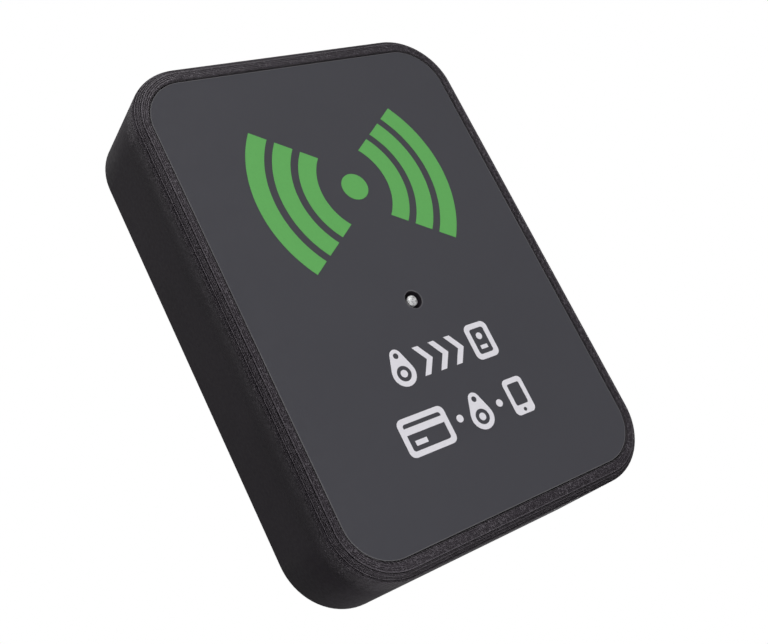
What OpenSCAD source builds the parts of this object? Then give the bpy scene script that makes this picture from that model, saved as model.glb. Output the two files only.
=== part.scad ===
// Contactless ticket and tag reader for a wall or a post.
// Millimetres. +Z is up and the front looks along -Y. The origin is the middle of the rear face.

/* [Housing] */
// Width of the housing
body_w = 85; // [83:0.5:92]
// Height of the housing
body_h = 118; // [115:1:126]
// Depth from the wall face to the front face
body_d = 23.5; // [23.5:0.5:30]
// Corner radius seen from the front
corner_r = 14; // [12:0.5:15]
// Radius of the front edge, built up in printed layers
edge_r = 2.4; // [1.8:0.3:3.3]
// Height of one printed layer
layer_h = 0.3; // [0.2:0.05:0.5]
// Thickness of the side walls
wall_t = 2.8; // [2.6:0.1:3.2]
// Thickness of the front wall
face_t = 2.6; // [2.2:0.1:3]
// Thickness of the rear cover
cover_t = 3; // [2.5:0.5:4]

/* [Graphic overlay] */
// Width of the printed film
film_w = 78; // [70:1:79]
// Height of the printed film
film_h = 110; // [104:1:111]
// Corner radius of the film
film_r = 10; // [6:0.5:12]
// Thickness of the film
film_t = 0.25; // [0.15:0.05:0.3]
// Sideways place of the wave symbol
symbol_x = 0.5; // [-2:0.1:2]
// Height of the wave symbol's dot above the middle
symbol_z = 22.5; // [18:0.1:24]
// Radius of the wave symbol's dot
dot_r = 3.28; // [2.5:0.1:4]
// Inner radius of the first wave
wave_r = 12.65; // [11:0.05:14]
// Width of one wave
wave_w = 4.25; // [3:0.05:5]
// Distance from one wave to the next
wave_pitch = 6.05; // [5.2:0.05:6.5]
// Number of waves on each side
wave_count = 3; // [1:1:3]
// Angle that the ends of the waves are cut at
wave_cut = 33.8; // [25:0.1:40]

/* [Indicator] */
// Sideways place of the indicator
lamp_x = 0.8; // [-2:0.1:2]
// Height of the indicator, below the middle
lamp_z = -6.3; // [-7:0.1:-6]
// Radius of the hole in the front face
lamp_hole_r = 2.1; // [1.9:0.05:2.4]
// Radius of the light pipe
pipe_r = 1.25; // [1.1:0.05:1.6]

/* [Rear fixings] */
// Sideways spacing of the bracket inserts
bracket_x = 30.18; // [28:0.01:34]
// Upright spacing of the bracket inserts
bracket_z = 38.06; // [34:0.01:44]
// Radius of the bracket inserts' threads
bracket_r = 2; // [1.5:0.25:2]
// Height of the cable inlet above the middle
inlet_z = 33; // [31:0.5:38]
// Radius of the cable hole in the grommet
cable_r = 3; // [2:0.25:3.5]

/* [Buttons] */
// Travel of the two push buttons
button_travel = 0.25; // [0.2:0.05:0.5]

/* [Hidden] */

$fn = 64;
eps = 0.01;

// Depths along Y. Every "_front" is the side towards the user, every "_back" towards the wall.
face_front = -body_d;
face_back = face_front + face_t;
recess_d = 0.4;
film_front = face_front + recess_d - film_t;
cover_front = -cover_t;
seal_t = 0.4;
seal_gap = 0.05;
ledge_back = cover_front - seal_t - seal_gap;

// Rebate that the rear cover sits in
cover_gap = 0.2;
rebate_t = 1.7;
rebate_w = body_w - 2 * rebate_t;
rebate_h = body_h - 2 * rebate_t;
rebate_r = corner_r - rebate_t;
cavity_w = body_w - 2 * wall_t;
cavity_h = body_h - 2 * wall_t;
cavity_r = corner_r - wall_t;

// Corner posts with threaded inserts
post_x = body_w / 2 - 8.3;
post_z = body_h / 2 - 8.3;
post_r = 4;
insert_r = 2.1;
insert_len = 5.7;
screw_r = 1.42;
screw_tip = cover_front - 6.5;
insert_bore_r = 1.5;
press_gap = 0.02;

// Circuit boards
board_t = 1.6;
board_w = 58;
antenna_front = face_back + 1.6;
antenna_back = antenna_front + board_t;
antenna_low = -2.5;
antenna_high = 48.5;
antenna_mid = (antenna_low + antenna_high) / 2;
antenna_h = antenna_high - antenna_low;
antenna_hole_x = 26;
antenna_hole_low = antenna_low + 3.5;
antenna_hole_high = antenna_high - 3.5;
control_front = antenna_back + 3.2;
control_back = control_front + board_t;
control_low = -50.5;
control_high = 7.5;
control_mid = (control_low + control_high) / 2;
control_h = control_high - control_low;
control_hole_x = 25;
control_hole_high = -6.5;
control_hole_low = -46.5;
small_screw_r = 1.05;
small_bore_r = 1.1;
small_clear_r = 1.4;
small_head_r = 2.3;
small_head_t = 1.4;

// Aerial track on the reader board
track_w = 1;
track_gap = 0.9;
track_t = 0.1;
track_turns = 5;
coil_w = 50;
coil_h = 43;

// Light pipe
pipe_gap = 0.03;
pipe_dome = 0.55;
pipe_back = face_back + 4.8;
pipe_flange_t = 0.8;
pipe_flange_r = 2.1;
lamp_boss_r = 3;
lamp_well_d = 2.1;

// Bracket inserts and their bosses
bracket_body_r = 2.8;
bracket_len = 8;
bracket_boss_r = 4.6;
bracket_boss_d = 9;

// Grommet
grommet_neck_r = 5;
grommet_rim_r = 7;
grommet_rim_t = 1;

// Push buttons: [x, z] of each switch on the control board
reset_at = [23, 2.3];
setup_at = [24.5, -15.5];
switch_w = 6;
switch_t = 3.5;
plunger_r = 1.7;
plunger_proud = 1.5;
plunger_gap = 0.06;

ink_t = 0.05;

// ---------------------------------------------------------------- shared shapes

// Rounded rectangle in the plane
module rounded_rect(w, h, r) {
    square([w - 2 * r, h], center = true);
    square([w, h - 2 * r], center = true);
    for (x = [-1, 1], z = [-1, 1])
        translate([x * (w / 2 - r), z * (h / 2 - r)])
            circle(r = r);
}

// A flat outline carried from one depth to another. Its plane's second axis is up.
module between(front, back, x = 0, z = 0) {
    translate([x, back, z])
        rotate([90, 0, 0])
            linear_extrude(back - front)
                children();
}

module rod(r, front, back, x = 0, z = 0) {
    translate([x, back, z])
        rotate([90, 0, 0])
            cylinder(r = r, h = back - front);
}

// A cone or taper along Y, r_front at its front end and r_back at its back end
module taper(r_front, r_back, front, back, x = 0, z = 0) {
    translate([x, back, z])
        rotate([90, 0, 0])
            cylinder(r1 = r_back, r2 = r_front, h = back - front);
}

module box_on(w, h, front, back, x = 0, z = 0) {
    translate([x - w / 2, front, z - h / 2])
        cube([w, back - front, h]);
}

// ---------------------------------------------------------------- housing

// How far layer i of the rounded front edge stands back from the side wall
function layer_inset(i) = edge_r - sqrt(edge_r ^ 2 - (edge_r - (i + 0.5) * layer_h) ^ 2);
layer_count = floor(edge_r / layer_h + eps);
edge_depth = layer_count * layer_h;

module housing_block() {
    for (i = [0:layer_count - 1])
        between(face_front + i * layer_h, face_front + (i + 1) * layer_h)
            rounded_rect(body_w - 2 * layer_inset(i), body_h - 2 * layer_inset(i),
                corner_r - layer_inset(i));
    between(face_front + edge_depth, 0)
        rounded_rect(body_w, body_h, corner_r);
}

module at_cover_posts() {
    for (x = [-post_x, post_x], z = [-post_z, post_z])
        translate([x, 0, z])
            children();
}

module at_antenna_holes() {
    for (x = [-antenna_hole_x, antenna_hole_x], z = [antenna_hole_low, antenna_hole_high])
        translate([x, 0, z])
            children();
}

module at_control_holes() {
    for (x = [-control_hole_x, control_hole_x], z = [control_hole_low, control_hole_high])
        translate([x, 0, z])
            children();
}

module front_housing() {
    color([0.17, 0.17, 0.18])
        difference() {
            union() {
                difference() {
                    housing_block();
                    between(face_back, 1)
                        rounded_rect(cavity_w, cavity_h, cavity_r);
                    between(ledge_back, 1)
                        rounded_rect(rebate_w, rebate_h, rebate_r);
                }
                at_cover_posts()
                    rod(post_r, face_back - eps, ledge_back);
                at_antenna_holes()
                    rod(2.75, face_back - eps, antenna_front);
                at_control_holes()
                    rod(3, face_back - eps, control_front);
                rod(lamp_boss_r, face_back - eps, face_back + 4, lamp_x, lamp_z);
            }
            between(face_front - 1, face_front + recess_d)
                rounded_rect(film_w + 0.3, film_h + 0.3, film_r + 0.15);
            rod(lamp_hole_r, face_front - 1, face_front + lamp_well_d, lamp_x, lamp_z);
            rod(pipe_r + pipe_gap, face_front - 1, face_back + 5, lamp_x, lamp_z);
            at_cover_posts()
                rod(insert_r + press_gap, screw_tip - 1, 1);
            at_antenna_holes()
                rod(small_bore_r, face_back - 1.2, antenna_front + 1);
            at_control_holes()
                rod(small_bore_r, face_back + 1, control_front + 1);
        }
}

// ---------------------------------------------------------------- graphic overlay

module graphic_overlay() {
    color([0.29, 0.29, 0.31])
        between(film_front, film_front + film_t)
            difference() {
                rounded_rect(film_w, film_h, film_r);
                translate([lamp_x, lamp_z])
                    circle(r = lamp_hole_r);
            }
}

// The waves share a centre a little past the dot, and the cut lines cross further out
wave_shift = 3.8;
wave_apex = 7.2;

module wave_fan() {
    reach = 60;
    polygon([[0, 0], [reach, reach * tan(wave_cut)], [reach, -reach * tan(wave_cut)]]);
}

module wave_side() {
    for (i = [0:wave_count - 1])
        intersection() {
            translate([-wave_shift, 0])
                difference() {
                    circle(r = wave_r + i * wave_pitch + wave_w);
                    circle(r = wave_r + i * wave_pitch);
                }
            translate([-wave_apex, 0])
                wave_fan();
        }
}

module wave_symbol() {
    color([0.39, 0.66, 0.37])
        between(film_front - ink_t, film_front, symbol_x, symbol_z) {
            circle(r = dot_r);
            wave_side();
            mirror([1, 0])
                wave_side();
        }
}

// Plain pictograms, drawn with one stroke width
stroke = 1.25;
glyph_h = 8.5;

module card_glyph(w = 12.4) {
    difference() {
        rounded_rect(w, glyph_h, 1.5);
        rounded_rect(w - 2 * stroke, glyph_h - 2 * stroke, 0.6);
    }
    translate([0, 1.35])
        square([w - 1, 1.5], center = true);
    translate([-w / 2 + 4, -1.45])
        square([3, 1.1], center = true);
}

module phone_glyph() {
    difference() {
        rounded_rect(5.6, glyph_h, 1.2);
        translate([0, 0.5])
            rounded_rect(5.6 - 2 * stroke + 0.3, glyph_h - 2 * stroke - 0.9, 0.4);
        translate([0, -glyph_h / 2 + 1])
            circle(r = 0.45);
    }
}

module fob_glyph() {
    body_r = 2.9;
    difference() {
        union() {
            translate([0, body_r - glyph_h / 2])
                circle(r = body_r);
            polygon([[-2.75, body_r - glyph_h / 2 + 1], [-1.3, glyph_h / 2 - 0.8],
                [1.3, glyph_h / 2 - 0.8], [2.75, body_r - glyph_h / 2 + 1]]);
            translate([0, glyph_h / 2 - 1.4])
                circle(r = 1.4);
        }
        translate([0, glyph_h / 2 - 1.5])
            circle(r = 0.65);
        translate([0, body_r - glyph_h / 2])
            difference() {
                circle(r = 1.75);
                circle(r = 0.85);
            }
    }
}

module chevron_glyph() {
    half = glyph_h / 2 - 0.9;
    polygon([[-1.9, half], [-0.3, half], [2, 0], [-0.3, -half], [-1.9, -half], [0.4, 0]]);
}

module reader_glyph() {
    difference() {
        rounded_rect(6.4, glyph_h, 1.5);
        rounded_rect(6.4 - 2 * stroke, glyph_h - 2 * stroke, 0.6);
    }
    translate([0, 1.1])
        circle(r = 0.8);
    translate([0, -1.5])
        square([1.9, 0.9], center = true);
}

upper_row_z = -19.7;
lower_row_z = -34;

module tag_pictograms() {
    color([0.83, 0.82, 0.84])
        between(film_front - ink_t, film_front) {
            translate([1.2, upper_row_z]) {
                translate([-11.4, 0])
                    fob_glyph();
                for (x = [-4.9, -0.5, 3.9])
                    translate([x, 0])
                        chevron_glyph();
                translate([11.1, 0])
                    reader_glyph();
            }
            translate([0.6, lower_row_z]) {
                translate([-12.2, 0])
                    card_glyph();
                for (x = [-3.2, 8.1])
                    translate([x, 0])
                        circle(r = 0.85);
                translate([2.4, 0])
                    fob_glyph();
                translate([13.8, 0])
                    phone_glyph();
            }
        }
}

// ---------------------------------------------------------------- indicator

// Half section of the light pipe: radius across, depth behind the domed tip upwards
module pipe_section() {
    dome_r = (pipe_r ^ 2 + pipe_dome ^ 2) / (2 * pipe_dome);
    pipe_len = pipe_back - film_front;
    intersection() {
        translate([0, dome_r])
            circle(r = dome_r);
        square([pipe_r, pipe_dome]);
    }
    translate([0, pipe_dome])
        square([pipe_r, pipe_len - pipe_dome]);
    translate([0, pipe_len - pipe_flange_t])
        square([pipe_flange_r, pipe_flange_t]);
}

module light_pipe() {
    color([0.86, 0.87, 0.88])
        translate([lamp_x, film_front, lamp_z])
            rotate([-90, 0, 0])
                rotate_extrude()
                    pipe_section();
}

module status_led() {
    color([0.93, 0.93, 0.88]) {
        box_on(3.2, 1.6, control_front - 0.35, control_front, lamp_x, lamp_z);
        box_on(2, 1.5, control_front - 0.8, control_front - 0.35, lamp_x, lamp_z);
    }
}

// ---------------------------------------------------------------- reader board

// The pins of the header run through both boards
header_z = 2.8;
header_pitch = 2.54;
header_count = 8;

module at_header_pins() {
    for (i = [0:header_count - 1])
        translate([(i - (header_count - 1) / 2) * header_pitch, 0, header_z])
            children();
}

module pin_holes() {
    at_header_pins()
        rod(0.5, antenna_front - 1, control_back + 1);
}

module antenna_board() {
    color([0.05, 0.27, 0.16])
        difference() {
            between(antenna_front, antenna_back, 0, antenna_mid)
                rounded_rect(board_w, antenna_h, 1.5);
            at_antenna_holes()
                rod(small_clear_r, antenna_front - 1, antenna_back + 1);
            pin_holes();
        }
}

// Nested square turns, each open where the next one starts
module antenna_coil() {
    step = track_w + track_gap;
    color([0.72, 0.45, 0.25])
        between(antenna_front - track_t, antenna_front, 0, antenna_mid)
            for (i = [0:track_turns - 1])
                difference() {
                    rounded_rect(coil_w - 2 * i * step, coil_h - 2 * i * step, 4.8 - i * 0.6);
                    rounded_rect(coil_w - 2 * i * step - 2 * track_w,
                        coil_h - 2 * i * step - 2 * track_w, 3.8 - i * 0.6);
                    translate([4 - 2 * i, -coil_h / 2 + i * step + track_w / 2])
                        square([1, track_w + 0.4], center = true);
                }
}

module reader_chip() {
    color([0.1, 0.1, 0.11])
        box_on(6, 6, antenna_back, antenna_back + 0.9, -12, 19);
}

module antenna_parts() {
    color([0.62, 0.55, 0.45]) {
        for (i = [0:3])
            box_on(1.6, 0.8, antenna_back, antenna_back + 0.8, -4.5, 14 + 2.4 * i);
        for (i = [0:1])
            box_on(2.5, 2, antenna_back, antenna_back + 1.2, 1.5, 15 + 4 * i);
        for (i = [0:2])
            box_on(0.8, 1.6, antenna_back, antenna_back + 0.8, -16 + 3 * i, 11);
    }
}

// A pan head screw that points to the front, head face on the given depth
module pan_screw(seat, len) {
    slot_w = 0.6;
    difference() {
        union() {
            rod(small_screw_r, seat - len, seat + eps);
            rod(small_head_r, seat, seat + small_head_t * 0.6);
            taper(small_head_r, small_head_r - 0.7, seat + small_head_t * 0.6,
                seat + small_head_t);
        }
        box_on(2.6, slot_w, seat + small_head_t * 0.4, seat + small_head_t + 1);
        box_on(slot_w, 2.6, seat + small_head_t * 0.4, seat + small_head_t + 1);
    }
}

module antenna_screws() {
    color([0.75, 0.75, 0.77])
        at_antenna_holes()
            pan_screw(antenna_back, 4.2);
}

// ---------------------------------------------------------------- control board

module header_strip() {
    color([0.09, 0.09, 0.1])
        difference() {
            box_on(header_count * header_pitch, 2.5, antenna_back, control_front, 0, header_z);
            at_header_pins()
                box_on(0.68, 0.68, antenna_back - 1, control_front + 1);
        }
}

module header_pins() {
    color([0.8, 0.65, 0.3])
        at_header_pins()
            box_on(0.64, 0.64, antenna_front - 0.8, control_back + 1.2);
}

module control_board() {
    color([0.05, 0.27, 0.16])
        difference() {
            between(control_front, control_back, 0, control_mid)
                rounded_rect(board_w, control_h, 1.5);
            at_control_holes()
                rod(small_clear_r, control_front - 1, control_back + 1);
            pin_holes();
        }
}

module radio_module() {
    color([0.06, 0.07, 0.08])
        box_on(18, 25.5, control_back, control_back + 0.8, -15.5, -23);
}

module module_shield() {
    color([0.78, 0.78, 0.79])
        between(control_back + 0.8, control_back + 3.2, -15.5, -26)
            rounded_rect(15.8, 17.6, 0.8);
}

module controller_chip() {
    color([0.1, 0.1, 0.11])
        box_on(7, 7, control_back, control_back + 1.2, 2.5, -27);
}

module small_chips() {
    color([0.1, 0.1, 0.11]) {
        box_on(5, 4, control_back, control_back + 1.5, -15, 3);
        box_on(4, 5, control_back, control_back + 1.5, 13.5, -6);
        box_on(3, 3, control_back, control_back + 1.1, 6, -17);
    }
}

module clock_crystal() {
    color([0.8, 0.8, 0.8])
        between(control_back, control_back + 1.3, 2.5, -35.5)
            rounded_rect(5, 3.2, 0.6);
}

module capacitors() {
    can_r = 3.15;
    can_t = 5.4;
    color([0.8, 0.81, 0.83])
        for (at = [[-22.5, 2.6], [-13, -41], [-20.5, -41]])
            translate([at[0], 0, at[1]]) {
                box_on(6.4, 6.4, control_back, control_back + 0.6);
                rod(can_r, control_back + 0.6, control_back + can_t - 0.4);
                taper(can_r, can_r - 0.4, control_back + can_t - 0.4, control_back + can_t);
            }
}

module buzzer() {
    buzzer_t = 6.5;
    color([0.08, 0.08, 0.09])
        difference() {
            rod(6, control_back, control_back + buzzer_t, 13.5, -40);
            rod(1, control_back + buzzer_t - 1.5, control_back + buzzer_t + 1, 13.5, -40);
        }
}

// Five-pole screw terminal. The wires enter from above and the screws face the rear.
pole_count = 5;
pole_pitch = 3.5;
terminal_h = 7.4;
terminal_t = 8.4;
terminal_z = -5.4;

module at_poles() {
    for (i = [0:pole_count - 1])
        translate([(i - (pole_count - 1) / 2) * pole_pitch, 0, terminal_z])
            children();
}

module terminal_block() {
    color([0.1, 0.42, 0.2])
        difference() {
            box_on(pole_count * pole_pitch + 1, terminal_h, control_back,
                control_back + terminal_t, 0, terminal_z);
            at_poles() {
                box_on(2.4, 4, control_back + 1.2, control_back + 3.9, 0, 2.3);
                rod(1.5, control_back + 4.6, control_back + terminal_t + 1, 0, -0.6);
            }
        }
}

module terminal_screws() {
    color([0.76, 0.76, 0.78])
        at_poles()
            difference() {
                rod(1.4, control_back + 4.6, control_back + terminal_t - 1.2, 0, -0.6);
                box_on(2.2, 0.5, control_back + terminal_t - 1.8, control_back + terminal_t,
                    0, -0.6);
            }
}

module switch_body(at) {
    color([0.16, 0.16, 0.17])
        difference() {
            box_on(switch_w, switch_w, control_back, control_back + switch_t, at[0], at[1]);
            rod(plunger_r + plunger_gap, control_back + 1.2, control_back + switch_t + 1,
                at[0], at[1]);
        }
}

module switch_button(at) {
    color([0.25, 0.25, 0.26])
        rod(plunger_r, control_back + 1.2 + 2 * button_travel,
            control_back + switch_t + plunger_proud, at[0], at[1]);
}

module reset_switch() {
    switch_body(reset_at);
}

module reset_button() {
    switch_button(reset_at);
}

module setup_switch() {
    switch_body(setup_at);
}

module setup_button() {
    switch_button(setup_at);
}

module board_screws() {
    color([0.75, 0.75, 0.77])
        at_control_holes()
            pan_screw(control_back, 6.6);
}

// ---------------------------------------------------------------- rear cover

module thread_inserts() {
    color([0.8, 0.64, 0.3])
        at_cover_posts()
            difference() {
                rod(insert_r, ledge_back - insert_len, ledge_back - seal_gap);
                rod(insert_bore_r, ledge_back - insert_len - 1, cover_front);
            }
}

module at_bracket() {
    for (x = [-bracket_x / 2, bracket_x / 2], z = [-bracket_z / 2, bracket_z / 2])
        translate([x, 0, z])
            children();
}

head_r = 3;
head_t = 1.7;
head_gap = 0.05;

module rear_cover() {
    color([0.15, 0.15, 0.16])
        difference() {
            union() {
                between(cover_front, 0)
                    rounded_rect(rebate_w - 2 * cover_gap, rebate_h - 2 * cover_gap,
                        rebate_r - cover_gap);
                at_bracket()
                    rod(bracket_boss_r, -bracket_boss_d, cover_front + eps);
            }
            at_cover_posts() {
                rod(screw_r + 0.18, cover_front - 1, 1);
                taper(screw_r + head_gap, head_r + head_gap, -head_t - head_gap, 0);
                rod(head_r + head_gap, -head_gap, 1);
            }
            at_bracket()
                rod(bracket_body_r + press_gap, -bracket_len - 0.1, 1);
            rod(grommet_neck_r, cover_front - 1, 1, 0, inlet_z);
            rod(grommet_rim_r + 0.1, -grommet_rim_t, 1, 0, inlet_z);
        }
}

module cover_gasket() {
    color([0.12, 0.12, 0.12])
        between(cover_front - seal_t, cover_front)
            difference() {
                rounded_rect(rebate_w - 2 * cover_gap, rebate_h - 2 * cover_gap,
                    rebate_r - cover_gap);
                rounded_rect(cavity_w + 0.2, cavity_h + 0.2, cavity_r + 0.1);
            }
}

module cover_screws() {
    color([0.2, 0.2, 0.21])
        at_cover_posts()
            difference() {
                union() {
                    rod(screw_r, screw_tip, -head_t + eps);
                    taper(screw_r, head_r, -head_t, -head_gap);
                }
                rod(1.15, -head_t + 0.3, 1, $fn = 6);
            }
}

module bracket_inserts() {
    color([0.8, 0.64, 0.3])
        at_bracket()
            difference() {
                rod(bracket_body_r, -bracket_len, -0.1);
                rod(bracket_r, -bracket_len - 1, 1);
            }
}

module cable_grommet() {
    grip_t = 1;
    color([0.1, 0.1, 0.1])
        translate([0, 0, inlet_z])
            difference() {
                union() {
                    rod(grommet_neck_r - press_gap, cover_front - grip_t, -0.05);
                    rod(grommet_rim_r, -grommet_rim_t + 0.02, -0.05);
                    taper(grommet_neck_r + 0.4, grommet_neck_r + 1.2, cover_front - grip_t - 0.6,
                        cover_front - 0.02);
                }
                rod(cable_r, cover_front - 3, 1);
            }
}

// ---------------------------------------------------------------- every piece

front_housing();
graphic_overlay();
wave_symbol();
tag_pictograms();
light_pipe();
status_led();
antenna_board();
antenna_coil();
reader_chip();
antenna_parts();
antenna_screws();
header_strip();
header_pins();
control_board();
radio_module();
module_shield();
controller_chip();
small_chips();
clock_crystal();
capacitors();
buzzer();
terminal_block();
terminal_screws();
reset_switch();
reset_button();
setup_switch();
setup_button();
board_screws();
thread_inserts();
rear_cover();
cover_gasket();
cover_screws();
bracket_inserts();
cable_grommet();
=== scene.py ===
"""Looks of the contactless ticket validator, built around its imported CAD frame."""

import math

import bpy
from mathutils import Matrix, Vector


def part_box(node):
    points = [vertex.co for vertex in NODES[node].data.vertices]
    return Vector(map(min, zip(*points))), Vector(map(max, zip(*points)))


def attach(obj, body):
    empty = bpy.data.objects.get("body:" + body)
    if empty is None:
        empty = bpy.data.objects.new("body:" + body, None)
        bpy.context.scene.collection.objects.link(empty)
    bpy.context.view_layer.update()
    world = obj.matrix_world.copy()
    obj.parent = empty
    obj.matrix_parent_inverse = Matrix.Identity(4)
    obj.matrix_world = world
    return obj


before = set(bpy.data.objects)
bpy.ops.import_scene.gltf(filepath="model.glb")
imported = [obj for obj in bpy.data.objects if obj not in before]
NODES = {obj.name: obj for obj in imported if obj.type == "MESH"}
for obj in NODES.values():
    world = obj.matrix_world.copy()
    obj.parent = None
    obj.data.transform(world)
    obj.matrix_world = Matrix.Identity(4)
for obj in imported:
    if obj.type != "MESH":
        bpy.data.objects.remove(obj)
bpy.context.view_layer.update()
MM = 0.001
TO_MM = 1000.0

HOUSING_LOW, HOUSING_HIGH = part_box("front_housing")
BODY_W = (HOUSING_HIGH.x - HOUSING_LOW.x) * TO_MM
BODY_H = (HOUSING_HIGH.z - HOUSING_LOW.z) * TO_MM
FRONT = HOUSING_LOW.y
FRONT_MM = FRONT * TO_MM
CORNER_R = 14.0  # the housing's corners seen from the front, in millimetres
EDGE_R = 2.4  # the rounding of its front edge
LAYER = 0.3  # the height of one printed layer


# ---------------------------------------------------------------- camera

AIM = Vector((-9.02 * MM, FRONT, -9.18 * MM))
CAMERA_DISTANCE = 0.23649
CAMERA_HEADING = 35.84  # degrees that the view turns right from straight at the front
CAMERA_TILT = 12.98  # degrees that the view looks up
CAMERA_ROLL = -26.64  # degrees that the camera leans
LENS = 52.86
SENSOR = 36.0
NEAR, FAR = 0.01, 50


def add_camera():
    heading = math.radians(CAMERA_HEADING)
    tilt = math.radians(CAMERA_TILT)
    level = Vector((math.sin(heading), math.cos(heading), 0))
    forward = level * math.cos(tilt) + Vector((0, 0, math.sin(tilt)))
    data = bpy.data.cameras.new("camera")
    data.lens = LENS
    data.sensor_width = SENSOR
    data.clip_start = NEAR
    data.clip_end = FAR
    camera = bpy.data.objects.new("camera", data)
    bpy.context.scene.collection.objects.link(camera)
    turn = forward.to_track_quat("-Z", "Y").to_matrix().to_4x4()
    lean = Matrix.Rotation(math.radians(CAMERA_ROLL), 4, "Z")
    camera.matrix_world = Matrix.Translation(AIM - forward * CAMERA_DISTANCE) @ turn @ lean
    bpy.context.scene.camera = camera


# ---------------------------------------------------------------- shader helpers


class Shader:
    """A material with one Principled shader and short calls for the nodes that feed it."""

    def __init__(self, name, color, roughness, metallic=0.0, **extra):
        self.material = bpy.data.materials.new(name)
        self.material.use_nodes = True
        self.tree = self.material.node_tree
        self.surface = self.tree.nodes["Principled BSDF"]
        self.set("Base Color", (*color, 1.0))
        self.set("Roughness", roughness)
        self.set("Metallic", metallic)
        for socket, value in extra.items():
            self.set(socket.replace("_", " ").title().replace("Ior", "IOR"), value)
        self._place = None
        self._normal = None

    def set(self, socket, value):
        self.surface.inputs[socket].default_value = value

    def feed(self, socket, output):
        self.tree.links.new(output, self.surface.inputs[socket])

    def node(self, kind, *inputs, output=0, **settings):
        made = self.tree.nodes.new(kind)
        for key, value in settings.items():
            setattr(made, key, value)
        for socket, value in zip(made.inputs, inputs):
            if value is None:
                continue
            if isinstance(value, bpy.types.NodeSocket):
                self.tree.links.new(value, socket)
            else:
                socket.default_value = value
        return made.outputs[output]

    def math(self, operation, *values):
        return self.node("ShaderNodeMath", *values, operation=operation)

    def place(self):
        """The surface point in millimetres, in the row frame."""
        if self._place is None:
            coordinates = self.tree.nodes.new("ShaderNodeTexCoord")
            self._place = self.node("ShaderNodeVectorMath", coordinates.outputs["Object"],
                                    (TO_MM, TO_MM, TO_MM), operation="MULTIPLY")
            self._normal = coordinates.outputs["Normal"]
        return self._place

    def normal(self):
        self.place()
        return self._normal

    def axis(self, vector, letter):
        return self.node("ShaderNodeSeparateXYZ", vector, output="XYZ".index(letter))

    def along(self, letter):
        return self.axis(self.place(), letter)

    def stretched(self, x=1.0, y=1.0, z=1.0):
        return self.node("ShaderNodeVectorMath", self.place(), (x, y, z), operation="MULTIPLY")

    def noise(self, scale, detail=2.0, rough=0.5, vector=None):
        made = self.tree.nodes.new("ShaderNodeTexNoise")
        self.tree.links.new(vector or self.place(), made.inputs["Vector"])
        made.inputs["Scale"].default_value = scale
        made.inputs["Detail"].default_value = detail
        made.inputs["Roughness"].default_value = rough
        return made.outputs[0]

    def span(self, value, low, high, to_low, to_high):
        """value carried from one range to another, and held inside it."""
        made = self.tree.nodes.new("ShaderNodeMapRange")
        self.tree.links.new(value, made.inputs["Value"])
        ends = {"From Min": low, "From Max": high, "To Min": to_low, "To Max": to_high}
        for name, number in ends.items():
            made.inputs[name].default_value = number
        return made.outputs[0]

    def tint(self, value, *stops):
        """Colours along value: each stop is (place, (r, g, b))."""
        made = self.tree.nodes.new("ShaderNodeValToRGB")
        ramp = made.color_ramp
        while len(ramp.elements) < len(stops):
            ramp.elements.new(0.5)
        for element, (place, color) in zip(ramp.elements, stops):
            element.position = place
            element.color = (*color, 1.0)
        self.tree.links.new(value, made.inputs[0])
        return made.outputs[0]

    def bump(self, *layers):
        """Stacked bumps, each (height, depth in millimetres)."""
        last = None
        for height, depth in layers:
            made = self.tree.nodes.new("ShaderNodeBump")
            made.inputs["Strength"].default_value = 1.0
            made.inputs["Distance"].default_value = depth * MM
            self.tree.links.new(height, made.inputs["Height"])
            if last is not None:
                self.tree.links.new(last, made.inputs["Normal"])
            last = made.outputs[0]
        self.feed("Normal", last)

    def ridges(self, value, pitch, start=0.0):
        """Round beads side by side along value, 0 in the seams and 1 on the crowns."""
        phase = self.math("MULTIPLY", self.math("SUBTRACT", value, start), math.pi / pitch)
        return self.math("ABSOLUTE", self.math("SINE", phase))


# ---------------------------------------------------------------- materials

PLASTIC_DARK = (0.0150, 0.0120, 0.0160)
PLASTIC_LIGHT = (0.0240, 0.0200, 0.0255)
# painted highlight for the crowns of the printed layers, and painted shade for their seams
PAINTED_CROWN_HIGHLIGHT = (0.0850, 0.0780, 0.0880)
PAINTED_SEAM_SHADE = (0.0020, 0.0017, 0.0022)
FILM_GREY = (0.0505, 0.0500, 0.0592)
# painted highlight along the film's outer edges
FILM_EDGE_HIGHLIGHT = (0.120, 0.118, 0.125)

FILM_LOW, FILM_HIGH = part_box("graphic_overlay")
FILM_W = (FILM_HIGH.x - FILM_LOW.x) * TO_MM
FILM_H = (FILM_HIGH.z - FILM_LOW.z) * TO_MM
FILM_R = 10.0
PIPE_LOW, PIPE_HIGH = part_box("light_pipe")
LAMP_X = (PIPE_LOW.x + PIPE_HIGH.x) / 2 * TO_MM
LAMP_Z = (PIPE_LOW.z + PIPE_HIGH.z) / 2 * TO_MM

DIAGONAL = 0.7071  # sine and cosine of 45 degrees
TRACK = 0.42  # the width of a printed track that follows the rim
FILLING = 0.45  # the width of a track in the diagonal filling inside the rim
RIM_IN, RIM_OUT = -3.3, -3.1  # where the filling gives way to the rim's tracks
SHARP, SMOOTH = 3.6, 9.5  # how far behind the front the layer bumps with their painted highlights and shade start and end to fade
LAMP_HOLE, LAMP_RING = 2.1, 2.45  # the radii of the light pipe's hole and of the painted highlight ring round it
HATCH = 0.9  # the spacing of the scuffs on the film


def outline_inset(s, x, z, width, height, radius):
    """How far outside a rounded rectangle's outline a point is, in millimetres."""
    across = s.math("SUBTRACT", s.math("ABSOLUTE", x), width / 2 - radius)
    upward = s.math("SUBTRACT", s.math("ABSOLUTE", z), height / 2 - radius)
    round_x = s.math("MAXIMUM", across, 0.0)
    round_z = s.math("MAXIMUM", upward, 0.0)
    corner = s.math("SQRT", s.math("ADD", s.math("MULTIPLY", round_x, round_x),
                                   s.math("MULTIPLY", round_z, round_z)))
    inner = s.math("MINIMUM", s.math("MAXIMUM", across, upward), 0.0)
    return s.math("SUBTRACT", s.math("ADD", corner, inner), radius)


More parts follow.
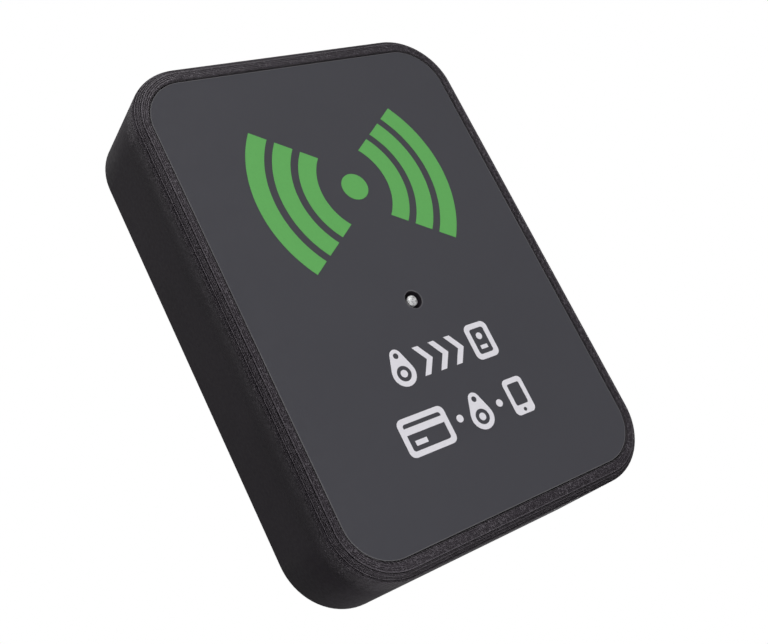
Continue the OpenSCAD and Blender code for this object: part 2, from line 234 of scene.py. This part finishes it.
def painted_step_light(s, inset, crumbs):
    """Painted highlights on the crests and painted shade in the grooves where printed layers step down
    the rounded edge, with specks of painted highlight and a painted shadow on the rim beside the film.
    """
    reach = s.math("MAXIMUM", s.math("ADD", inset, EDGE_R), 0.0)
    drop = s.math("SUBTRACT", EDGE_R ** 2, s.math("MULTIPLY", reach, reach))
    depth = s.math("SUBTRACT", EDGE_R, s.math("SQRT", drop))
    along_step = s.math("FRACT", s.math("ADD", s.math("DIVIDE", depth, LAYER), 0.5))
    broken = s.span(crumbs, 0.36, 0.5, 0.3, 1.0)
    # painted highlights on the crests, painted shade in the grooves
    crest_highlight = s.math("MULTIPLY", s.span(along_step, 0.66, 0.95, 0.0, 1.15), broken)
    groove_shade = s.span(along_step, 0.02, 0.36, 1.0, 0.0)
    # small specks of painted highlight
    highlight_specks = s.span(s.noise(2.2, 3.0, 0.8), 0.5, 0.62, 0.0, 0.75)
    # painted shadow on the rim along the film's edge
    beside_film = outline_inset(s, s.along("X"), s.along("Z"), FILM_W, FILM_H, FILM_R)
    lip_shadow = s.span(beside_film, 0.2, 0.55, 0.8, 0.0)
    flat = s.span(inset, -EDGE_R, 0.12 - EDGE_R, 0.15, 0.0)
    light = s.math("ADD", s.math("MAXIMUM", crest_highlight, highlight_specks), flat)
    return s.math("SUBTRACT", light, s.math("MAXIMUM", groove_shade, lip_shadow))


def printed_plastic():
    """Matte black printed plastic: beads stacked along Y on the walls, tracks round the rim, with
    painted highlights on their crowns and painted shade in their seams.
    """
    s = Shader("printed_plastic", PLASTIC_DARK, 0.5, specular_ior_level=0.45)
    s.set("Specular Tint", (1.0, 0.92, 1.0, 1.0))
    x, y, z = s.along("X"), s.along("Y"), s.along("Z")
    facing = s.math("POWER", s.math("ABSOLUTE", s.axis(s.normal(), "Y")), 2.0)
    side = s.math("SUBTRACT", 1.0, facing)
    inset = outline_inset(s, x, z, BODY_W, BODY_H, CORNER_R)
    front_zone = s.math("MULTIPLY", s.span(y, FRONT_MM + SHARP, FRONT_MM + SMOOTH, 1.0, 0.12),
                        s.span(inset, -8.0, -6.0, 0.1, 1.0))

    wobble = s.span(s.noise(0.5, 4.0), 0.0, 1.0, -0.12, 0.12)
    tracks = s.ridges(s.math("ADD", inset, wobble), TRACK)
    slant = s.math("MULTIPLY", s.math("ADD", x, z), DIAGONAL)
    diagonal = s.ridges(s.math("ADD", slant, wobble), FILLING)
    filled = s.span(inset, RIM_IN, RIM_OUT, 1.0, 0.0)
    tracks = s.math("ADD", s.math("MULTIPLY", tracks, s.math("SUBTRACT", 1.0, filled)),
                    s.math("MULTIPLY", diagonal, filled))
    beads = s.ridges(s.math("ADD", y, s.math("MULTIPLY", wobble, 0.25)), LAYER, FRONT_MM)
    crumbs = s.noise(2.6, 4.0, 0.7)
    grain = s.noise(6.0, 3.0, 0.6)
    wall = s.math("MULTIPLY", s.math("MULTIPLY", beads, side), front_zone)
    rim = s.math("MULTIPLY", tracks, facing)
    rough_print = s.math("MULTIPLY", crumbs, front_zone)
    s.bump((wall, 0.11), (rim, 0.07), (rough_print, 0.14), (grain, 0.012))

    streaks = s.math("MULTIPLY", s.noise(1.0, 3.0, 0.6, s.stretched(0.05, 2.5, 0.05)), side)
    patches = s.math("ADD", s.math("MULTIPLY", streaks, 0.25),
                     s.math("MULTIPLY", s.noise(0.08, 3.0), 0.5))
    # the crowns of beads and tracks get painted highlights, and their seams get painted shade
    painted_bead_light = s.math("MULTIPLY", s.math("ADD", wall, s.math("MULTIPLY", rim, 0.42)),
                   s.span(crumbs, 0.35, 0.68, 0.25, 1.0))
    # painted highlights and shade where the front edge steps down
    step_light_and_shade = painted_step_light(s, inset, crumbs)
    painted_bead_light = s.math("ADD", painted_bead_light, s.math("MULTIPLY", step_light_and_shade, facing))
    tone = s.math("ADD", s.math("MULTIPLY", painted_bead_light, front_zone),
                  s.math("MULTIPLY", patches, s.math("SUBTRACT", 1.0, front_zone)))
    s.feed("Base Color", s.tint(tone, (0.0, PAINTED_SEAM_SHADE), (0.28, PLASTIC_DARK), (0.6, PLASTIC_LIGHT),
                                (1.0, PAINTED_CROWN_HIGHLIGHT)))
    shine = s.math("MULTIPLY", front_zone, 0.16)
    dull = s.span(s.noise(1.2, 3.0), 0.3, 0.7, 0.44, 0.58)
    s.feed("Roughness", s.math("SUBTRACT", dull, shine))
    return s.material


def satin_film():
    """Dark grey polycarbonate film with a fine velvet texture, and a painted highlight along its outer
    edge and round the light pipe's hole.
    """
    s = Shader("satin_film", FILM_GREY, 0.42, specular_ior_level=0.45)
    x, z = s.along("X"), s.along("Z")
    # painted highlight along the film's outer edge and round the light pipe's hole
    edge_highlight = s.span(outline_inset(s, x, z, FILM_W, FILM_H, FILM_R), -0.26, -0.1, 0.0, 1.0)
    lamp = s.node("ShaderNodeVectorMath", s.node("ShaderNodeCombineXYZ", x, 0.0, z),
                  (LAMP_X, 0.0, LAMP_Z), operation="DISTANCE", output=1)
    edge_highlight = s.math("MAXIMUM", edge_highlight, s.span(lamp, LAMP_HOLE, LAMP_RING, 0.8, 0.0))
    rubbed = s.span(s.noise(0.07, 2.0), 0.52, 0.66, 0.0, 1.0)
    slant = s.math("MULTIPLY", s.math("SUBTRACT", x, z), DIAGONAL)
    bend = s.span(s.noise(0.3, 3.0), 0.0, 1.0, -0.6, 0.6)
    hatch = s.ridges(s.math("ADD", slant, bend), HATCH)
    worn = s.math("MULTIPLY", rubbed, s.span(s.noise(0.8, 3.0), 0.42, 0.6, 0.0, 1.0))
    scuffs = s.math("MULTIPLY", hatch, worn)
    s.bump((s.noise(9.0, 2.0, 0.6), 0.006), (s.noise(0.09, 2.0), 0.1), (scuffs, 0.008))
    tone = s.math("ADD", s.math("MULTIPLY", s.noise(0.03, 2.0), 0.5), s.math("MULTIPLY", edge_highlight, 0.5))
    s.feed("Base Color", s.tint(tone, (0.15, FILM_GREY), (0.35, tuple(c * 1.05 for c in FILM_GREY)),
                                (0.75, FILM_EDGE_HIGHLIGHT)))
    s.feed("Roughness", s.span(s.noise(0.5, 4.0, 0.6), 0.3, 0.7, 0.4, 0.48))
    return s.material


def ink(name, color, shade):
    s = Shader(name, color, 0.5, specular_ior_level=0.4)
    mottle = s.noise(2.5, 3.0, 0.6)
    darker = tuple(c * shade for c in color)
    s.feed("Base Color", s.tint(mottle, (0.3, darker), (0.7, color)))
    s.feed("Roughness", s.span(mottle, 0.3, 0.7, 0.45, 0.58))
    s.bump((s.noise(7.0, 2.0), 0.006))
    return s.material


def clear_acrylic():
    """Clear acrylic with a scratched, hazy surface that breaks up its domed tip, and painted light and
    dark patches on the tip that stand for light and reflections.
    """
    s = Shader("clear_acrylic", (0.92, 0.93, 0.95), 0.16, transmission_weight=0.25, ior=1.49)
    haze_and_painted_light = s.noise(2.1, 3.0, 0.7)
    # painted light and dark patches that stand for light and reflections in the tip
    s.feed("Base Color", s.tint(haze_and_painted_light, (0.36, (0.1, 0.1, 0.105)), (0.47, (0.6, 0.6, 0.61)),
                                (0.57, (0.94, 0.94, 0.94))))
    s.feed("Roughness", s.span(haze_and_painted_light, 0.3, 0.7, 0.35, 0.12))
    s.bump((haze_and_painted_light, 0.12))
    return s.material


def circuit_board(name, resist, copper):
    """Solder resist over tracks: right-angled runs show through a shade lighter."""
    s = Shader(name, resist, 0.32, specular_ior_level=0.55)
    cells = s.tree.nodes.new("ShaderNodeTexVoronoi")
    cells.distance = "CHEBYCHEV"
    s.tree.links.new(s.stretched(0.35, 0.0, 0.35), cells.inputs["Vector"])
    cells.inputs["Scale"].default_value = 1.0
    runs = s.ridges(cells.outputs["Distance"], 0.11)
    tracks = s.span(runs, 0.55, 0.62, 0.0, 1.0)
    dust = s.noise(1.5, 4.0, 0.6)
    s.feed("Base Color", s.tint(tracks, (0.2, resist), (0.8, copper)))
    s.feed("Roughness", s.span(dust, 0.3, 0.7, 0.25, 0.4))
    s.bump((tracks, 0.03), (dust, 0.01))
    return s.material


def moulded(name, color, roughness=0.45, grain=3.0, depth=0.02):
    s = Shader(name, color, roughness, specular_ior_level=0.45)
    fine = s.noise(grain, 4.0, 0.6)
    broad = s.noise(0.25, 2.0)
    lighter = tuple(min(1.0, c * 1.25 + 0.002) for c in color)
    s.feed("Base Color", s.tint(broad, (0.3, color), (0.7, lighter)))
    s.feed("Roughness", s.span(fine, 0.3, 0.7, roughness - 0.06, roughness + 0.08))
    s.bump((fine, depth))
    return s.material


def metal(name, color, roughness, lines=(1.0, 1.0, 1.0), ridges=None):
    """Metal with fine marks along the small numbers in lines, and knurls or threads if asked."""
    s = Shader(name, color, roughness, 1.0)
    marks = s.noise(6.0, 4.0, 0.6, s.stretched(*lines))
    dull = s.noise(0.6, 3.0, 0.6)
    darker = tuple(c * 0.72 for c in color)
    s.feed("Base Color", s.tint(dull, (0.3, darker), (0.7, color)))
    s.feed("Roughness", s.span(marks, 0.3, 0.7, roughness * 0.75, roughness * 1.3))
    bumps = [(marks, 0.008)]
    if ridges:
        bumps.append((s.ridges(s.along("Y"), ridges), 0.12))
    s.bump(*bumps)
    return s.material


def rubber(name, color):
    s = Shader(name, color, 0.72, specular_ior_level=0.3)
    pores = s.noise(8.0, 3.0, 0.7)
    bloom = s.noise(0.5, 3.0, 0.6)
    s.feed("Base Color", s.tint(bloom, (0.35, color), (0.75, tuple(c * 1.8 for c in color))))
    s.feed("Roughness", s.span(pores, 0.3, 0.7, 0.62, 0.82))
    s.bump((pores, 0.025))
    return s.material


def paint_nodes():
    """Give every CAD node its finish, and return those that the added pieces share."""
    plastic = printed_plastic()
    laminate = circuit_board("green_laminate", (0.008, 0.075, 0.035), (0.018, 0.13, 0.06))
    epoxy = moulded("chip_epoxy", (0.018, 0.018, 0.02), 0.5, 6.0, 0.012)
    nylon = moulded("black_nylon", (0.015, 0.015, 0.016), 0.42)
    zinc = metal("zinc_steel", (0.62, 0.63, 0.65), 0.3)
    tin = metal("tinned_shield", (0.66, 0.66, 0.65), 0.32, (0.15, 1.0, 2.5))
    knurl = metal("insert_brass", (0.78, 0.56, 0.25), 0.28, (2.0, 0.3, 2.0), ridges=0.5)
    switch = moulded("switch_body", (0.03, 0.03, 0.032), 0.4)
    finishes = {
        "front_housing": plastic,
        "rear_cover": plastic,
        "graphic_overlay": satin_film(),
        "wave_symbol": ink("green_print", (0.115, 0.395, 0.100), 0.93),
        "tag_pictograms": ink("light_print", (0.715, 0.70, 0.745), 0.96),
        "light_pipe": clear_acrylic(),
        "status_led": moulded("led_package", (0.8, 0.78, 0.66), 0.3),
        "antenna_board": laminate,
        "control_board": laminate,
        "antenna_coil": metal("aerial_copper", (0.75, 0.42, 0.22), 0.35),
        "reader_chip": epoxy,
        "controller_chip": epoxy,
        "small_chips": epoxy,
        "antenna_parts": moulded("ceramic_parts", (0.42, 0.33, 0.22), 0.35),
        "antenna_screws": zinc,
        "board_screws": zinc,
        "terminal_screws": zinc,
        "header_strip": nylon,
        "buzzer": nylon,
        "header_pins": metal("gold_pins", (0.95, 0.72, 0.32), 0.22),
        "radio_module": circuit_board("black_laminate", (0.008, 0.009, 0.011),
                                      (0.016, 0.018, 0.022)),
        "module_shield": tin,
        "clock_crystal": tin,
        "capacitors": metal("drawn_can", (0.82, 0.83, 0.85), 0.24),
        "terminal_block": moulded("terminal_green", (0.02, 0.21, 0.07), 0.38),
        "reset_switch": switch,
        "setup_switch": switch,
        "reset_button": moulded("button_red", (0.46, 0.03, 0.025), 0.36),
        "setup_button": moulded("button_black", (0.025, 0.025, 0.026), 0.36),
        "thread_inserts": knurl,
        "bracket_inserts": knurl,
        "cover_gasket": rubber("foam_rubber", (0.02, 0.02, 0.02)),
        "cover_screws": metal("black_oxide", (0.13, 0.13, 0.138), 0.36, ridges=0.5),
        "cable_grommet": rubber("grommet_rubber", (0.014, 0.014, 0.015)),
    }
    for name, material in finishes.items():
        slots = NODES[name].data.materials
        slots.clear()
        slots.append(material)
    return {
        "tin": tin,
        "black": nylon,
        "gold": finishes["header_pins"],
        "solder": metal("solder", (0.72, 0.72, 0.73), 0.25),
        "white": ink("board_print", (0.75, 0.76, 0.74), 0.9),
        "resistor": moulded("resistor_glaze", (0.02, 0.02, 0.024), 0.28, 5.0, 0.008),
    }


# ---------------------------------------------------------------- small pieces on the boards


class Solids:
    """Simple closed solids, in millimetres, gathered into one mesh."""

    def __init__(self):
        self.points = []
        self.faces = []

    def prism(self, outline, y):
        """A flat outline of (x, z) points carried along Y from y[0] to y[1]."""
        first, count = len(self.points), len(outline)
        for depth in y:
            self.points += [(px, depth, pz) for px, pz in outline]
        self.faces.append([first + i for i in range(count)])
        self.faces.append([first + count + i for i in reversed(range(count))])
        for i in range(count):
            j = (i + 1) % count
            self.faces.append([first + j, first + i, first + count + i, first + count + j])

    def box(self, x, y, z):
        self.prism([(x[0], z[0]), (x[1], z[0]), (x[1], z[1]), (x[0], z[1])], y)

    def block(self, x, z, width, height, y):
        self.box((x - width / 2, x + width / 2), y, (z - height / 2, z + height / 2))

    def circle(self, x, z, radius, depth, sides):
        for i in range(sides):
            turn = 2 * math.pi * i / sides
            point = (x + radius * math.cos(turn), depth, z + radius * math.sin(turn))
            self.points.append(point)

    def cone(self, x, z, radii, y, sides=24):
        """A round solid along Y with one radius at each end."""
        first = len(self.points)
        for radius, depth in zip(radii, y):
            self.circle(x, z, radius, depth, sides)
        self.faces.append([first + i for i in range(sides)])
        self.faces.append([first + sides + i for i in reversed(range(sides))])
        for i in range(sides):
            j = (i + 1) % sides
            self.faces.append([first + j, first + i, first + sides + i, first + sides + j])

    def ring(self, x, z, radii, y, sides=36):
        """A flat ring with an inner and an outer radius."""
        first = len(self.points)
        for depth in y:
            for radius in radii:
                self.circle(x, z, radius, depth, sides)
        inner_a, outer_a, inner_b, outer_b = (first + sides * k for k in range(4))
        for i in range(sides):
            j = (i + 1) % sides
            self.faces.append([outer_a + i, outer_a + j, inner_a + j, inner_a + i])
            self.faces.append([inner_b + i, inner_b + j, outer_b + j, outer_b + i])
            self.faces.append([outer_a + j, outer_a + i, outer_b + i, outer_b + j])
            self.faces.append([inner_a + i, inner_a + j, inner_b + j, inner_b + i])

    def frame(self, x, z, width, height, line, y):
        """The outline of a rectangle, drawn with one line width."""
        for side in (-1, 1):
            self.block(x, z + side * (height - line) / 2, width, line, y)
            self.block(x + side * (width - line) / 2, z, line, height - 2 * line, y)

    def build(self, name, material, body, slot, bevel=0.0):
        mesh = bpy.data.meshes.new(name)
        mesh.from_pydata([[c * MM for c in point] for point in self.points], [], self.faces)
        mesh.validate()
        mesh.update()
        mesh.materials.append(material)
        piece = bpy.data.objects.new(name, mesh)
        bpy.context.scene.collection.objects.link(piece)
        if bevel:
            edge = piece.modifiers.new("bevel", "BEVEL")
            edge.width = bevel * MM
            edge.segments = 2
            edge.limit_method = "ANGLE"
        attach(piece, body)
        return piece


def islands(node):
    """(lowest, highest) corner in millimetres of each separate solid of a CAD node."""
    mesh = NODES[node].data
    owner = {}

    def find(key):
        while owner[key] != key:
            owner[key] = owner[owner[key]]
            key = owner[key]
        return key

    keys = [tuple(round(c * TO_MM, 3) for c in vertex.co) for vertex in mesh.vertices]
    for key in keys:
        owner.setdefault(key, key)
    for polygon in mesh.polygons:
        first = find(keys[polygon.vertices[0]])
        for vertex in polygon.vertices[1:]:
            owner[find(keys[vertex])] = first
    groups = {}
    for key in owner:
        groups.setdefault(find(key), []).append(key)
    return sorted((tuple(map(min, zip(*group))), tuple(map(max, zip(*group))))
                  for group in groups.values())


def middle_of(box):
    low, high = box
    return [(a + b) / 2 for a, b in zip(low, high)]


def size_of(box):
    low, high = box
    return [b - a for a, b in zip(low, high)]


INK_T = 0.035  # the thickness of a printed line or a plated pad, in millimetres
INK_W = 0.16  # the width of a printed line
LEG_SEAT = 0.3  # how much of a chip's leg lies on the board
SOIC_PITCH, FINE_PITCH = 1.27, 0.5
SMALL_BEVEL = 0.03

DETAILS = {  # name: (material, slot, bevel)
    "chip_legs": ("tin", "shield_tin", 0.0),
    "plated_pads": ("gold", "pin_gold", 0.0),
    "solder_joints": ("solder", "shield_tin", 0.0),
    "board_outlines": ("white", "light_print", 0.0),
    "resistor_bodies": ("resistor", "chip_epoxy", SMALL_BEVEL),
    "resistor_ends": ("solder", "shield_tin", SMALL_BEVEL),
    "dark_details": ("black", "black_nylon", 0.06),
    "switch_lids": ("tin", "shield_tin", 0.0),
    "module_aerial": ("gold", "pin_gold", 0.0),
}

RESISTOR = (1.6, 0.8, 0.45)  # length, width and height
RESISTOR_ROWS = [  # first place, step to the next one, how many, and whether they stand upright
    ((10.0, -20.0), (0, -2.3), 5, False),
    ((14.0, -18.0), (0, -2.3), 4, False),
    ((-3.0, -13.0), (0, -2.3), 4, False),
    ((20.0, -24.0), (0, -2.6), 3, True),
    ((-6.5, -44.0), (2.4, 0), 5, True),
    ((18.5, -3.0), (0, -2.3), 3, False),
    ((-17.0, -5.0), (2.4, 0), 3, True),
]
INDUCTOR_X, INDUCTOR_Z = 22.8, -34.5
INDUCTOR_W, INDUCTOR_T = 5.4, 2.6
TEST_PADS = (8.6, -47.6, 2.2, 6)  # first place, step and how many


def chip_legs(solids, box, seat, pitch, width, reach, sides):
    """Bent legs along the sides of a chip: x sides, z sides or both."""
    x, _, z = middle_of(box)
    wide, tall, high = size_of(box)
    shoulder = (seat + tall * 0.45, seat + tall * 0.55)
    foot_y = (seat, seat + tall * 0.5)
    for side in sides:
        length = high if side == "x" else wide
        half = (wide if side == "x" else high) / 2
        count = int((length - 0.6) / pitch) + 1
        for i in range(count):
            step = (i - (count - 1) / 2) * pitch
            for end in (-1, 1):
                out = end * (half + reach / 2)
                foot = end * (half + reach - LEG_SEAT / 2)
                if side == "x":
                    solids.block(x + out, z + step, reach, width, shoulder)
                    solids.block(x + foot, z + step, LEG_SEAT, width, foot_y)
                else:
                    solids.block(x + step, z + out, width, reach, shoulder)
                    solids.block(x + step, z + foot, width, LEG_SEAT, foot_y)


def add_chip_details(made, seat, reader_seat):
    """Legs, printed outlines and first-pin marks of the chips, and the ends of the tuning parts."""
    legs, outlines = made["chip_legs"], made["board_outlines"]
    ink = (seat, seat + INK_T)
    reader_ink = (reader_seat, reader_seat + INK_T)

    controller = islands("controller_chip")[0]
    chip_legs(legs, controller, seat, FINE_PITCH, 0.22, 1.0, "xz")
    x, _, z = middle_of(controller)
    outlines.frame(x, z, 10.4, 10.4, INK_W, ink)
    outlines.cone(x - 4.6, z + 4.6, (0.3, 0.3), ink)
    top = controller[1][1]
    made["dark_details"].cone(x - 2.7, z + 2.7, (0.35, 0.35), (top, top + 0.01))

    for chip in islands("small_chips"):
        wide, _, high = size_of(chip)
        x, _, z = middle_of(chip)
        lies_flat = wide > high
        if min(wide, high) > 3.5:
            chip_legs(legs, chip, seat, SOIC_PITCH, 0.42, 1.1, "z" if lies_flat else "x")
        extra_w, extra_h = (0.9, 3.0) if lies_flat else (3.0, 0.9)
        outlines.frame(x, z, wide + extra_w, high + extra_h, INK_W, ink)
        outlines.cone(x - wide / 2 - 0.1, z + high / 2 + 0.1, (0.2, 0.2), ink, 16)

    reader = islands("reader_chip")[0]
    chip_legs(legs, reader, reader_seat, FINE_PITCH, 0.24, 0.25, "xz")
    x, _, z = middle_of(reader)
    outlines.frame(x, z, 7.6, 7.6, INK_W, reader_ink)

    plating = 0.03
    cap = 0.38
    for part in islands("antenna_parts"):
        low, high = part
        x, _, z = middle_of(part)
        wide, _, deep = size_of(part)
        y = (low[1], high[1] + plating)
        for end in (-1, 1):
            if wide >= deep:
                place = x + end * (wide / 2 - 0.16)
                made["resistor_ends"].block(place, z, cap, deep + 2 * plating, y)
            else:
                place = z + end * (deep / 2 - 0.16)
                made["resistor_ends"].block(x, place, wide + 2 * plating, cap, y)


def add_small_parts(made, seat):
    """Rows of small resistors with their solder, and the power inductor beside them."""
    ends, solder = made["resistor_ends"], made["solder_joints"]
    length, width, height = RESISTOR
    for (x0, z0), (dx, dz), count, upright in RESISTOR_ROWS:
        for i in range(count):
            x, z = x0 + dx * i, z0 + dz * i
            wide, high = (width, length) if upright else (length, width)
            made["resistor_bodies"].block(x, z, wide, high, (seat, seat + height))
            wide, high = (0.86, 0.34) if upright else (0.34, 0.86)
            for end in (-1, 1):
                along_x, along_z = (0, end) if upright else (end, 0)
                ends.block(x + along_x * 0.68, z + along_z * 0.68, wide, high, (seat, seat + 0.48))
                solder.cone(x + along_x * 0.95, z + along_z * 0.95, (0.5, 0.2), (seat, seat + 0.3), 12)

    made["dark_details"].block(INDUCTOR_X, INDUCTOR_Z, INDUCTOR_W, INDUCTOR_W,
                               (seat, seat + INDUCTOR_T))
    for end in (-1, 1):
        made["plated_pads"].block(INDUCTOR_X + end * 2.4, INDUCTOR_Z, 1.4, 2.2, (seat, seat + 0.3))


def add_pads(made, seat, reader_seat):
    """Solder at the header pins, plated rings under the screws, and a row of test pads."""
    pads, solder = made["plated_pads"], made["solder_joints"]
    for pin in islands("header_pins"):
        x, _, z = middle_of(pin)
        solder.cone(x, z, (0.85, 0.4), (seat, seat + 0.55), 20)
    dots = 8
    dot_circle = 2.72
    for node, face in (("board_screws", seat), ("antenna_screws", reader_seat)):
        for screw in islands(node):
            x, _, z = middle_of(screw)
            pads.ring(x, z, (1.5, 3.0), (face, face + INK_T))
            for i in range(dots):
                turn = 2 * math.pi * i / dots
                solder.cone(x + dot_circle * math.cos(turn), z + dot_circle * math.sin(turn),
                            (0.16, 0.12), (face, face + 0.06), 10)
    first_x, row_z, step, count = TEST_PADS
    for i in range(count):
        pads.cone(first_x + step * i, row_z, (0.6, 0.6), (seat, seat + INK_T))


def add_part_outlines(made, seat):
    """White outlines round the larger parts, and the dark mark on each capacitor's lid."""
    outlines = made["board_outlines"]
    ink = (seat, seat + INK_T)
    for can in islands("capacitors"):
        x, _, z = middle_of(can)
        outlines.ring(x, z, (4.2, 4.36), ink)
        top = can[1][1]
        angles = [math.radians(110 + 140 * k / 12) for k in range(13)]
        band = [(x + 2.6 * math.cos(a), z + 2.6 * math.sin(a)) for a in angles]
        made["dark_details"].prism(band, (top, top + 0.02))
    x, _, z = middle_of(islands("clock_crystal")[0])
    outlines.frame(x, z, 6.4, 4.6, INK_W, ink)
    for node in ("terminal_block", "buzzer", "reset_switch", "setup_switch"):
        part = islands(node)[0]
        wide, _, high = size_of(part)
        x, _, z = middle_of(part)
        if node == "buzzer":
            outlines.ring(x, z, (wide / 2 + 0.4, wide / 2 + 0.58), ink, 48)
        else:
            outlines.frame(x, z, wide + 0.9, high + 0.9, INK_W, ink)


def add_switch_lids(made, seat):
    """Switch lids, each held by four rivets, and the switches' legs."""
    lids = made["switch_lids"]
    lid_t = 0.2
    for node in ("reset", "setup"):
        body = islands(node + "_switch")[0]
        button = islands(node + "_button")[0]
        x, _, z = middle_of(body)
        top = body[1][1]
        lid_y = (top, top + lid_t)
        rivet_y = (top + lid_t, top + lid_t + 0.18)
        hole = size_of(button)[0] / 2 + 0.15
        lids.ring(x, z, (hole, hole + 0.75), lid_y)
        for sx in (-1, 1):
            lids.block(x + sx * 2.45, z, 0.55, 5.6, lid_y)
            lids.block(x, z + sx * 2.45, 4.35, 0.55, lid_y)
            for sz in (-1, 1):
                made["dark_details"].cone(x + sx * 2.25, z + sz * 2.25, (0.42, 0.36), rivet_y, 16)
                made["chip_legs"].block(x + sx * 3.3, z + sz * 2.2, 0.9, 0.6, (seat, seat + 0.25))


def add_module_details(made, seat):
    """Plated half holes down both sides of the radio module, and its printed aerial."""
    module = islands("radio_module")[0]
    low, high = module
    hole_y = (high[1] - 0.78, high[1] + 0.02)
    for i in range(14):
        z = low[2] + 1.4 + i * SOIC_PITCH
        for x, outward in ((low[0], -0.6), (high[0], 0.6)):
            made["plated_pads"].block(x, z, 1.5, 0.8, hole_y)
            made["solder_joints"].cone(x + outward, z, (0.5, 0.25), (seat, seat + 0.5), 12)

    aerial = made["module_aerial"]
    line = 0.5
    left, right = low[0] + 1.6, high[0] - 1.6
    base, tip = islands("module_shield")[0][1][2] + 1.0, high[2] - 0.9
    turns = 7
    pitch = (right - left) / (turns - 1)
    for i in range(turns):
        x = left + i * pitch
        aerial.block(x, (base + tip) / 2, line, tip - base, (high[1], high[1] + 0.03))
        if i < turns - 1:
            z = tip - line / 2 if i % 2 == 0 else base + line / 2
            aerial.block(x + pitch / 2, z, pitch + line, line, (high[1], high[1] + 0.04))


def add_board_details(shared):
    """Legs, pads, solder, small parts and white outlines on the rear of both boards."""
    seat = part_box("control_board")[1].y * TO_MM
    reader_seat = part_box("antenna_board")[1].y * TO_MM
    made = {name: Solids() for name in DETAILS}
    add_chip_details(made, seat, reader_seat)
    add_small_parts(made, seat)
    add_pads(made, seat, reader_seat)
    add_part_outlines(made, seat)
    add_switch_lids(made, seat)
    add_module_details(made, seat)
    for name, (material, slot, bevel) in DETAILS.items():
        made[name].build(name, shared[material], "reader_head", slot, bevel)


# ---------------------------------------------------------------- edges


SAME_POINT = 0.002  # points closer than this are welded, in millimetres
SHARP_EDGE = 35  # an edge that turns more than this many degrees is bevelled


def soften(node, width):
    """A small bevel on a CAD node's edges, so that they catch the light."""
    piece = NODES[node]
    weld = piece.modifiers.new("weld", "WELD")
    weld.merge_threshold = SAME_POINT * MM
    bevel = piece.modifiers.new("bevel", "BEVEL")
    bevel.width = width * MM
    bevel.segments = 2
    bevel.limit_method = "ANGLE"
    bevel.angle_limit = math.radians(SHARP_EDGE)
    bevel.harden_normals = True
    bevel.use_clamp_overlap = True


# ---------------------------------------------------------------- stage


MIDDLE = (0, FRONT / 2, 0)
FLOOR_DROP = 0.6
FLOOR_REACH = 2.2
FLOOR_GREYS = ((0.84, 0.84, 0.84), (0.88, 0.88, 0.88))
WORLD_STRENGTH = 0.3
GREY_BELOW, GREY_ABOVE = 0.14, 1.0
LIGHTS = {  # name: (place, target, size, power)
    "key": ((-0.5, -0.95, 0.85), MIDDLE, (0.7, 0.7), 12),
    "fill": ((-0.15, -0.85, -0.65), (0, FRONT, -0.04), (0.6, 0.6), 8.5),
    "top": ((0.15, -0.25, 1.1), MIDDLE, (0.7, 0.5), 4),
    "back": ((1.0, 0.6, 0.0), MIDDLE, (0.6, 0.6), 16),
    "low": ((0.1, -0.05, -0.55), MIDDLE, (0.6, 0.6), 2),
}


def add_area(name, place, target, size, power):
    data = bpy.data.lights.new(name, "AREA")
    data.shape = "RECTANGLE"
    data.size, data.size_y = size
    data.energy = power
    light = bpy.data.objects.new(name, data)
    bpy.context.scene.collection.objects.link(light)
    place, target = Vector(place), Vector(target)
    turn = (target - place).to_track_quat("-Z", "Y").to_matrix().to_4x4()
    light.matrix_world = Matrix.Translation(place) @ turn


def add_floor():
    mesh = bpy.data.meshes.new("floor")
    corners = [(x * FLOOR_REACH, y * FLOOR_REACH, -FLOOR_DROP)
               for x, y in ((-1, -1), (1, -1), (1, 1), (-1, 1))]
    mesh.from_pydata(corners, [], [(0, 1, 2, 3)])
    floor = bpy.data.objects.new("floor", mesh)
    bpy.context.scene.collection.objects.link(floor)
    floor.visible_diffuse = False
    floor.visible_glossy = False
    s = Shader("floor_paint", (0.8, 0.8, 0.8), 0.7)
    pale = s.tint(s.noise(0.002, 2.0), (0.3, FLOOR_GREYS[0]), (0.7, FLOOR_GREYS[1]))
    s.feed("Base Color", pale)
    s.feed("Emission Color", pale)
    s.set("Emission Strength", 1.0)
    mesh.materials.append(s.material)


def add_world():
    """White to look at, and a softer light from above than from below."""
    world = bpy.data.worlds.new("studio")
    bpy.context.scene.world = world
    world.use_nodes = True
    tree = world.node_tree
    tree.nodes.clear()
    seen = tree.nodes.new("ShaderNodeBackground")
    seen.inputs["Color"].default_value = (1, 1, 1, 1)
    lit = tree.nodes.new("ShaderNodeBackground")
    lit.inputs["Strength"].default_value = WORLD_STRENGTH
    direction = tree.nodes.new("ShaderNodeTexCoord")
    split = tree.nodes.new("ShaderNodeSeparateXYZ")
    tree.links.new(direction.outputs["Generated"], split.inputs[0])
    ramp = tree.nodes.new("ShaderNodeMapRange")
    ramp.inputs["From Min"].default_value = -1.0
    ramp.inputs["From Max"].default_value = 1.0
    ramp.inputs["To Min"].default_value = GREY_BELOW
    ramp.inputs["To Max"].default_value = GREY_ABOVE
    tree.links.new(split.outputs["Z"], ramp.inputs["Value"])
    tree.links.new(ramp.outputs[0], lit.inputs["Color"])
    path = tree.nodes.new("ShaderNodeLightPath")
    mix = tree.nodes.new("ShaderNodeMixShader")
    tree.links.new(path.outputs["Is Camera Ray"], mix.inputs["Fac"])
    tree.links.new(lit.outputs[0], mix.inputs[1])
    tree.links.new(seen.outputs[0], mix.inputs[2])
    out = tree.nodes.new("ShaderNodeOutputWorld")
    tree.links.new(mix.outputs[0], out.inputs["Surface"])


def add_stage():
    add_world()
    add_floor()
    for name, settings in LIGHTS.items():
        add_area(name, *settings)
    bpy.context.scene.view_settings.view_transform = "Standard"


# ---------------------------------------------------------------- build

add_camera()
add_board_details(paint_nodes())
soften("front_housing", 0.07)
soften("graphic_overlay", 0.08)
add_stage()
